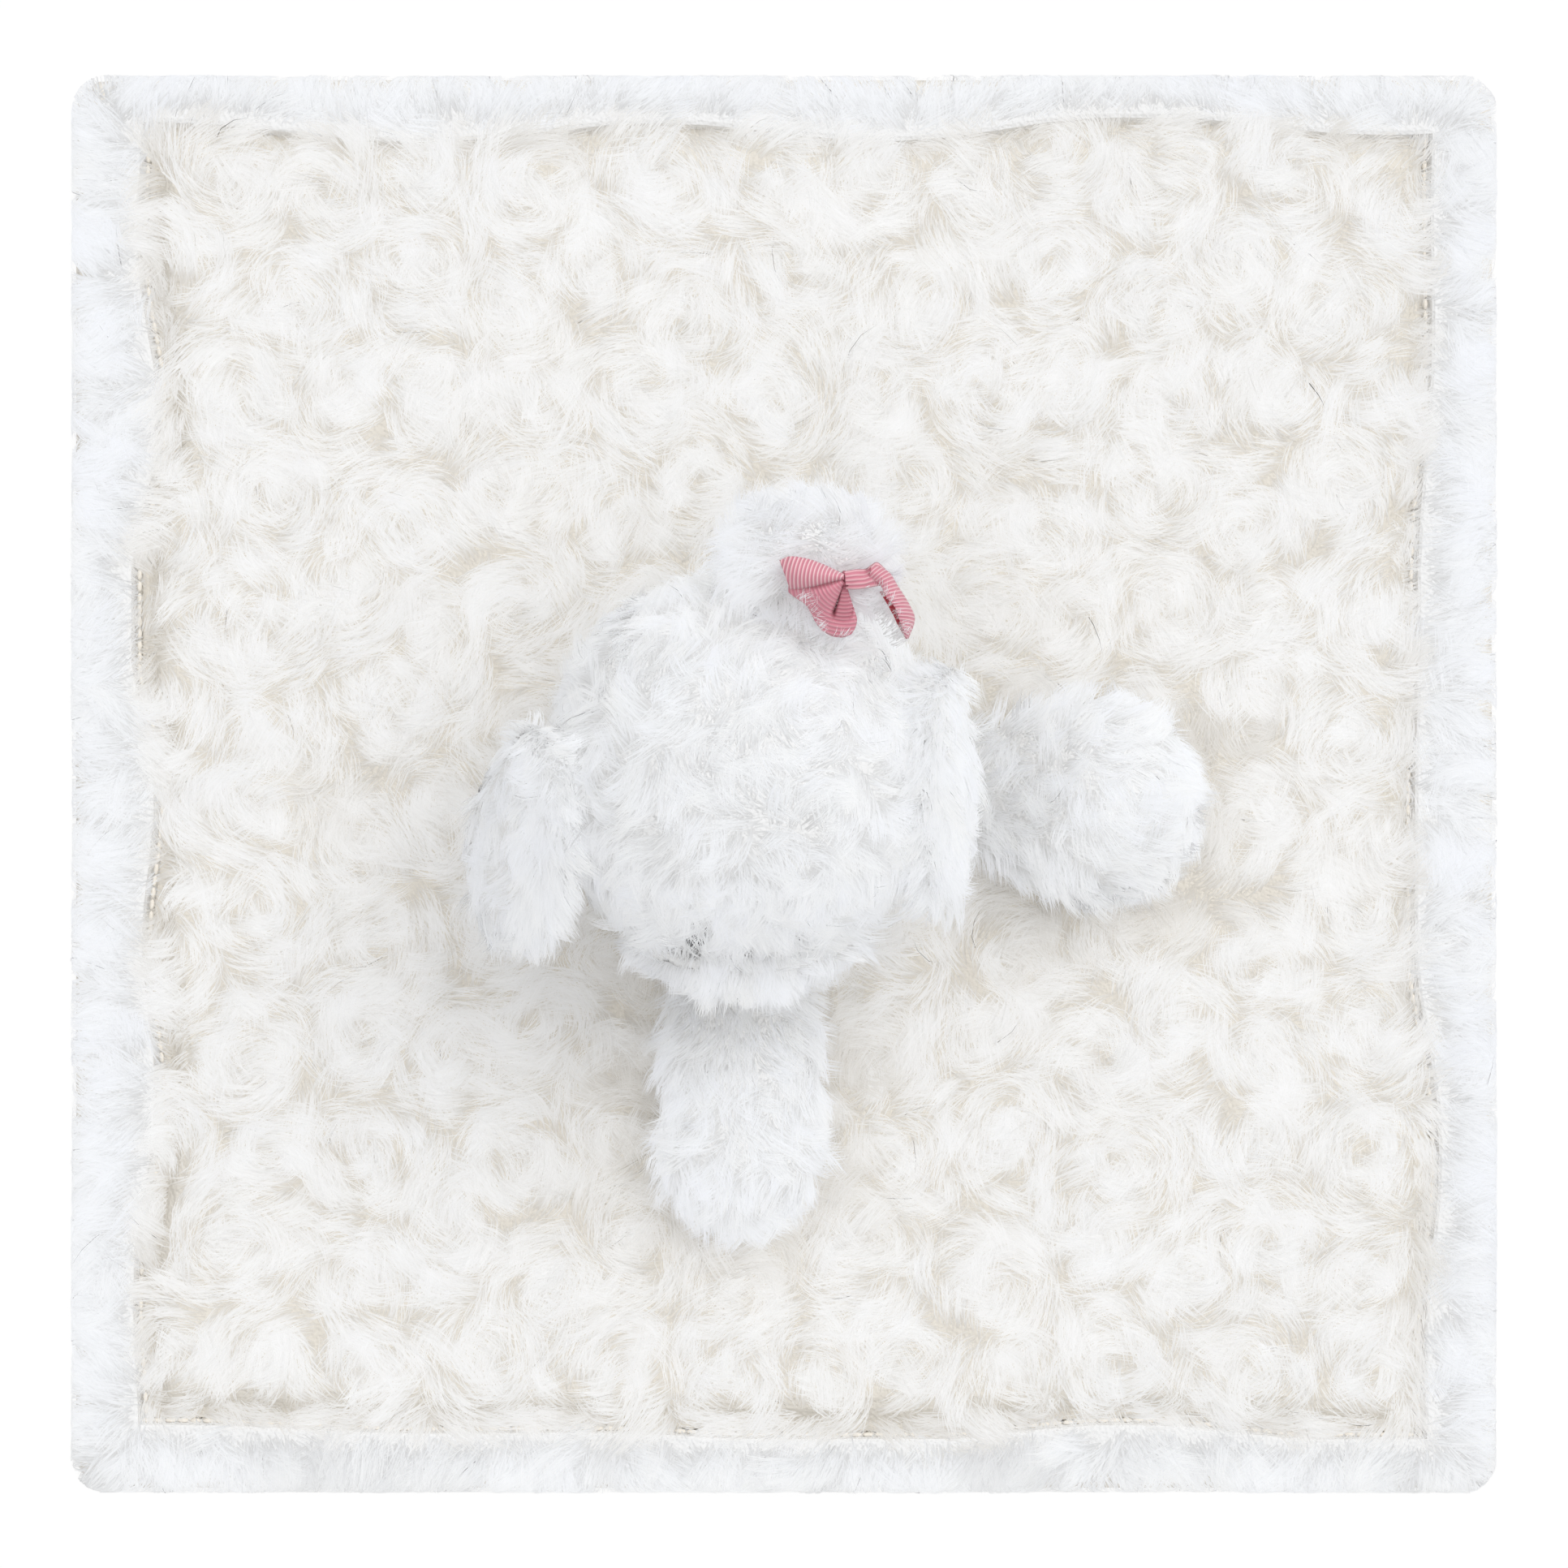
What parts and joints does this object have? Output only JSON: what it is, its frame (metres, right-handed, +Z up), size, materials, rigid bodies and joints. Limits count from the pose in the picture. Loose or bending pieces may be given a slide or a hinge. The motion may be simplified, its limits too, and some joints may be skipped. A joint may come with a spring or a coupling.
{
  "type": "comfort blanket lovey",
  "caption": "Square rosette plush comfort blanket with a stuffed puppy head on a gathered neck, drooping ears, a topknot with a ribbon bow, and stuffed paws, laid out flat.",
  "frame": {"origin": "under the middle of the blanket, on the surface that it lies on", "axes": "+Z up; the puppy faces -Y, the front edge; +X is to the right as seen from above with the front edge nearest"},
  "size_m": [0.351, 0.349, 0.1106],
  "materials": {
    "ivory_plush": "long soft pile swirled into rosettes, matt",
    "cool_plush": "long soft pile, brushed, matt",
    "backing_cloth": "short smooth plush, matt",
    "stitching": "sewing thread",
    "stuffing": "loose polyester fibre",
    "ear_lining": "short smooth plush, matt",
    "bead": "black, polished",
    "washer_plastic": "moulded, unpainted",
    "ribbon": "ribbed grosgrain, soft sheen",
    "ribbon_thread": "twisted thread"
  },
  "bodies": {
    "blanket": {"blanket_backing": "backing_cloth", "blanket_face": "ivory_plush", "blanket_border": "cool_plush", "topstitch": "stitching", "neck_stitches": "stitching", "right_paw_root": "cool_plush", "front_paw_root": "cool_plush"},
    "neck": {"neck_gather": "cool_plush"},
    "head": {"head_cover": "cool_plush", "head_stuffing": "stuffing", "muzzle_cover": "cool_plush", "muzzle_stuffing": "stuffing", "nose": "bead", "left_eye": "bead", "right_eye": "bead", "left_eye_washer": "washer_plastic", "right_eye_washer": "washer_plastic", "topknot_cover": "cool_plush", "topknot_stuffing": "stuffing", "bow_left_loop": "ribbon", "bow_left_tail": "ribbon", "bow_right_loop": "ribbon", "bow_right_tail": "ribbon", "bow_tie": "ribbon_thread"},
    "left_ear": {"left_ear_plush": "cool_plush", "left_ear_lining": "ear_lining"},
    "right_ear": {"right_ear_plush": "cool_plush", "right_ear_lining": "ear_lining"},
    "right_paw": {"right_paw_cover": "cool_plush", "right_paw_stuffing": "stuffing"},
    "front_paw": {"front_paw_cover": "cool_plush", "front_paw_stuffing": "stuffing"}
  },
  "joints": [
    {"name": "head_turn", "type": "hinge", "parent": "blanket", "child": "neck", "pos_m": [-0.0098, 0.0045, 0.0217], "axis": [0, 0, 1], "range_deg": [-20, 20], "stiffness_Nm_per_rad": 0.1},
    {"name": "head_nod", "type": "hinge", "parent": "neck", "child": "head", "pos_m": [-0.0098, 0.0045, 0.0217], "axis": [1, 0, 0], "range_deg": [-12, 5], "stiffness_Nm_per_rad": 0.1},
    {"name": "left_ear_lift", "type": "hinge", "parent": "head", "child": "left_ear", "pos_m": [-0.05621, 0.00796, 0.08832], "axis": [-0.5651, 0.6058, -0.5601], "range_deg": [0, 75]},
    {"name": "right_ear_lift", "type": "hinge", "parent": "head", "child": "right_ear", "pos_m": [0.03605, 0.02377, 0.08291], "axis": [-0.3252, -0.4327, 0.8408], "range_deg": [0, 75]},
    {"name": "right_paw_lift", "type": "hinge", "parent": "blanket", "child": "right_paw", "pos_m": [0.03995, -0.00161, 0.0186], "axis": [-0.0523, -0.9986, 0], "range_deg": [0, 25]},
    {"name": "front_paw_lift", "type": "hinge", "parent": "blanket", "child": "front_paw", "pos_m": [-0.0104, -0.0425, 0.0186], "axis": [-1, 0, 0], "range_deg": [0, 20]}
  ]
}
